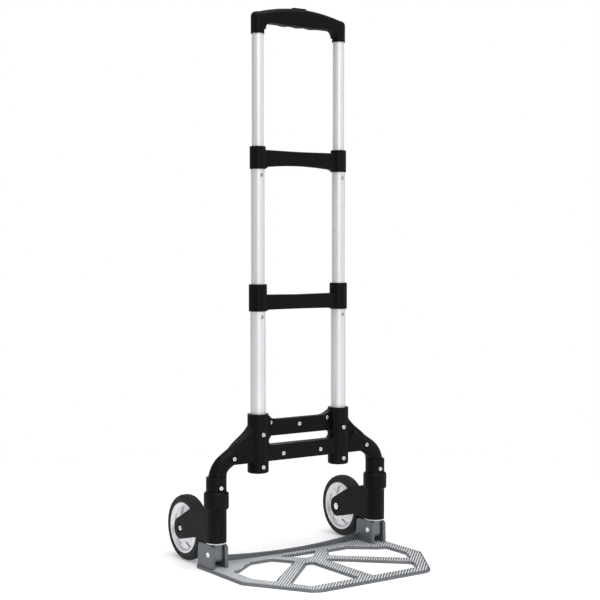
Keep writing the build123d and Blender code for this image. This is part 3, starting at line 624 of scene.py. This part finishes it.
# ---- operators ----
class CART_OT_moulded_parts(bpy.types.Operator):
    """Black plastic of the base shells, collars, handle and wheel brackets"""

    bl_idname = "cart.moulded_parts"
    bl_label = "Moulded parts"

    def execute(self, context):
        finish_nodes("black_plastic", moulded_plastic(context.scene.cart_colours.plastic))
        return {"FINISHED"}


class CART_OT_tubes(bpy.types.Operator):
    """Anodised telescopic tubes and coated legs"""

    bl_idname = "cart.tubes"
    bl_label = "Tubes and legs"

    def execute(self, context):
        colours = context.scene.cart_colours
        finish_nodes("tube_aluminium", anodised_tube(colours.tube))
        finish_nodes("leg_steel", coated_leg(colours.leg))
        return {"FINISHED"}


class CART_OT_toe_plate(bpy.types.Operator):
    """Cast toe plate and the tangs that it folds on"""

    bl_idname = "cart.toe_plate"
    bl_label = "Toe plate"

    def execute(self, context):
        colours = context.scene.cart_colours
        finish_nodes("cast_aluminium", cast_plate(colours.plate))
        finish_nodes("tang_zinc", cast_tang(colours.tang))
        return {"FINISHED"}


class CART_OT_tread(bpy.types.Operator):
    """Slanting ribs on top of the toe plate"""

    bl_idname = "cart.tread"
    bl_label = "Tread"

    def execute(self, context):
        scene = context.scene
        mesh = mesh_from("plate_tread", lambda working: build_tread(working, scene.cart_tread))
        new_piece(
            "plate_tread", mesh, polished_tread(scene.cart_colours.tread), "toe_plate"
        )
        return {"FINISHED"}


class CART_OT_wheels(bpy.types.Operator):
    """Silver wheel centres and grooved rubber tyres"""

    bl_idname = "cart.wheels"
    bl_label = "Wheels"

    def execute(self, context):
        scene = context.scene
        finish_nodes("rim_silver", silver_rim(scene.cart_colours.rim))
        rubber = tyre_rubber(scene.cart_colours.rubber)
        for side in SIDES:
            low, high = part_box(f"tyre_{side}")
            centre = (low + high) / 2
            section = tyre_section((high.x - low.x) / 2, (high.z - low.z) / 2, scene.cart_tyre)
            mesh = mesh_from(
                f"grooved_tyre_{side}",
                lambda working: build_tyre(working, centre, section, scene.cart_tyre.segments),
                sharp=math.radians(50),
            )
            piece = new_piece(f"grooved_tyre_{side}", mesh, rubber, f"{side}_wheel")
            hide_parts(f"tyre_{side}")
        return {"FINISHED"}


class CART_OT_fixings(bpy.types.Operator):
    """Screws, bolts, pins and springs in bright steel, and nylon guides"""

    bl_idname = "cart.fixings"
    bl_label = "Fixings and guides"

    def execute(self, context):
        colours = context.scene.cart_colours
        finish_nodes("bright_steel", plated_steel(colours.steel))
        finish_nodes("white_nylon", natural_nylon(colours.nylon))
        return {"FINISHED"}


class CART_OT_studio(bpy.types.Operator):
    """Camera, pale floor and soft lights"""

    bl_idname = "cart.studio"
    bl_label = "Studio"

    def execute(self, context):
        studio = context.scene.cart_studio
        add_camera(studio)
        add_floor()
        add_surroundings(studio.ambience)
        add_lights(studio)
        context.scene.view_settings.view_transform = "Standard"
        return {"FINISHED"}


# ---- studio ----
def add_camera(studio):
    """Camera with a long lens, level with the middle of the cart."""
    data = bpy.data.cameras.new("camera")
    data.sensor_width = 36.0
    data.lens = studio.focal_length
    camera = bpy.data.objects.new("camera", data)
    camera.location = studio.camera_place
    camera.rotation_euler = (math.radians(90) - studio.camera_dip, 0, studio.camera_heading)
    bpy.context.scene.collection.objects.link(camera)
    bpy.context.scene.camera = camera


def add_floor():
    """Round floor under the cart."""
    def build(working):
        bmesh.ops.create_circle(working, cap_ends=True, segments=96, radius=1.4)

    mesh = mesh_from("floor", build)
    floor = bpy.data.objects.new("floor", mesh)
    mesh.materials.append(studio_floor())
    bpy.context.scene.collection.objects.link(floor)


def add_surroundings(strength):
    """White to the camera, and softly graded grey to everything that it lights."""
    world = bpy.data.worlds.new("surroundings")
    world.use_nodes = True
    nodes, links = world.node_tree.nodes, world.node_tree.links
    light = nodes["Background"]
    place = nodes.new("ShaderNodeTexCoord")
    grade = nodes.new("ShaderNodeTexGradient")
    grade.gradient_type = "RADIAL"
    ramp = nodes.new("ShaderNodeValToRGB")
    ramp.color_ramp.interpolation = "EASE"
    ramp.color_ramp.elements[0].color = (0.75, 0.76, 0.78, 1.0)
    ramp.color_ramp.elements[1].color = (0.75, 0.76, 0.78, 1.0)
    for position, value in ((0.18, 0.55), (0.33, 1.25), (0.45, 0.8), (0.62, 0.5), (0.80, 0.95)):
        ramp.color_ramp.elements.new(position).color = (value, value, value * 1.01, 1.0)
    links.new(place.outputs["Generated"], grade.inputs["Vector"])
    links.new(grade.outputs["Fac"], ramp.inputs["Fac"])
    links.new(ramp.outputs["Color"], light.inputs["Color"])
    light.inputs["Strength"].default_value = strength
    white = nodes.new("ShaderNodeBackground")
    white.inputs["Color"].default_value = (1.0, 1.0, 1.0, 1.0)
    white.inputs["Strength"].default_value = 1.0
    seen = nodes.new("ShaderNodeLightPath")
    mix = nodes.new("ShaderNodeMixShader")
    links.new(seen.outputs["Is Camera Ray"], mix.inputs["Fac"])
    links.new(light.outputs["Background"], mix.inputs[1])
    links.new(white.outputs["Background"], mix.inputs[2])
    links.new(mix.outputs["Shader"], nodes["World Output"].inputs["Surface"])
    bpy.context.scene.world = world


def add_lights(studio):
    """Soft boxes: place, aim, width, height and power of each."""
    middle = Vector((0, 0, 0.5))
    boxes = (
        ("front_box", (-1.0, -2.9, 1.1), (0, 0, 0.5), 0.7, 2.6, studio.key_power),
        ("top_box", (-0.2, -0.5, 2.6), (0, 0, 0), 2.4, 2.0, studio.top_power),
        ("left_box", (-3.0, 0.2, 1.0), middle, 1.6, 2.4, studio.left_power),
        ("right_box", (2.6, -1.4, 1.0), middle, 1.6, 2.4, studio.right_power),
        ("back_box", (1.2, 3.0, 1.2), middle, 1.2, 2.4, studio.back_power),
    )
    for name, place, aim, width, height, power in boxes:
        data = bpy.data.lights.new(name, "AREA")
        data.shape = "RECTANGLE"
        data.size = width
        data.size_y = height
        data.energy = power
        light = bpy.data.objects.new(name, data)
        light.location = place
        light.rotation_euler = (Vector(aim) - Vector(place)).to_track_quat("-Z", "Y").to_euler()
        light.visible_camera = False
        bpy.context.scene.collection.objects.link(light)


# ---- panel and registration ----
OPERATORS = (
    CART_OT_studio,
    CART_OT_moulded_parts,
    CART_OT_tubes,
    CART_OT_toe_plate,
    CART_OT_tread,
    CART_OT_wheels,
    CART_OT_fixings,
)
SETTINGS = {
    "cart_colours": CartColours,
    "cart_tread": CartTread,
    "cart_tyre": CartTyre,
    "cart_studio": CartStudio,
}


class CART_PT_panel(bpy.types.Panel):
    """Sidebar panel with every step and its settings"""

    bl_idname = "CART_PT_panel"
    bl_label = "Folding luggage cart"
    bl_space_type = "VIEW_3D"
    bl_region_type = "UI"
    bl_category = "Cart"

    def draw(self, context):
        for operator in OPERATORS:
            self.layout.operator(operator.bl_idname)
        for name, kind in SETTINGS.items():
            box = self.layout.box()
            for key in kind.__annotations__:
                box.prop(getattr(context.scene, name), key)


def register():
    """Adds the settings, operators and panel."""
    for kind in SETTINGS.values():
        bpy.utils.register_class(kind)
    for name, kind in SETTINGS.items():
        setattr(bpy.types.Scene, name, bpy.props.PointerProperty(type=kind))
    for operator in OPERATORS:
        bpy.utils.register_class(operator)
    bpy.utils.register_class(CART_PT_panel)


def unregister():
    """Removes them again."""
    bpy.utils.unregister_class(CART_PT_panel)
    for operator in reversed(OPERATORS):
        bpy.utils.unregister_class(operator)
    for name, kind in SETTINGS.items():
        delattr(bpy.types.Scene, name)
        bpy.utils.unregister_class(kind)


def main():
    """Builds everything in order."""
    register()
    bpy.ops.cart.studio()
    bpy.ops.cart.moulded_parts()
    bpy.ops.cart.tubes()
    bpy.ops.cart.toe_plate()
    bpy.ops.cart.tread()
    bpy.ops.cart.wheels()
    bpy.ops.cart.fixings()


if __name__ == "__main__":
    main()
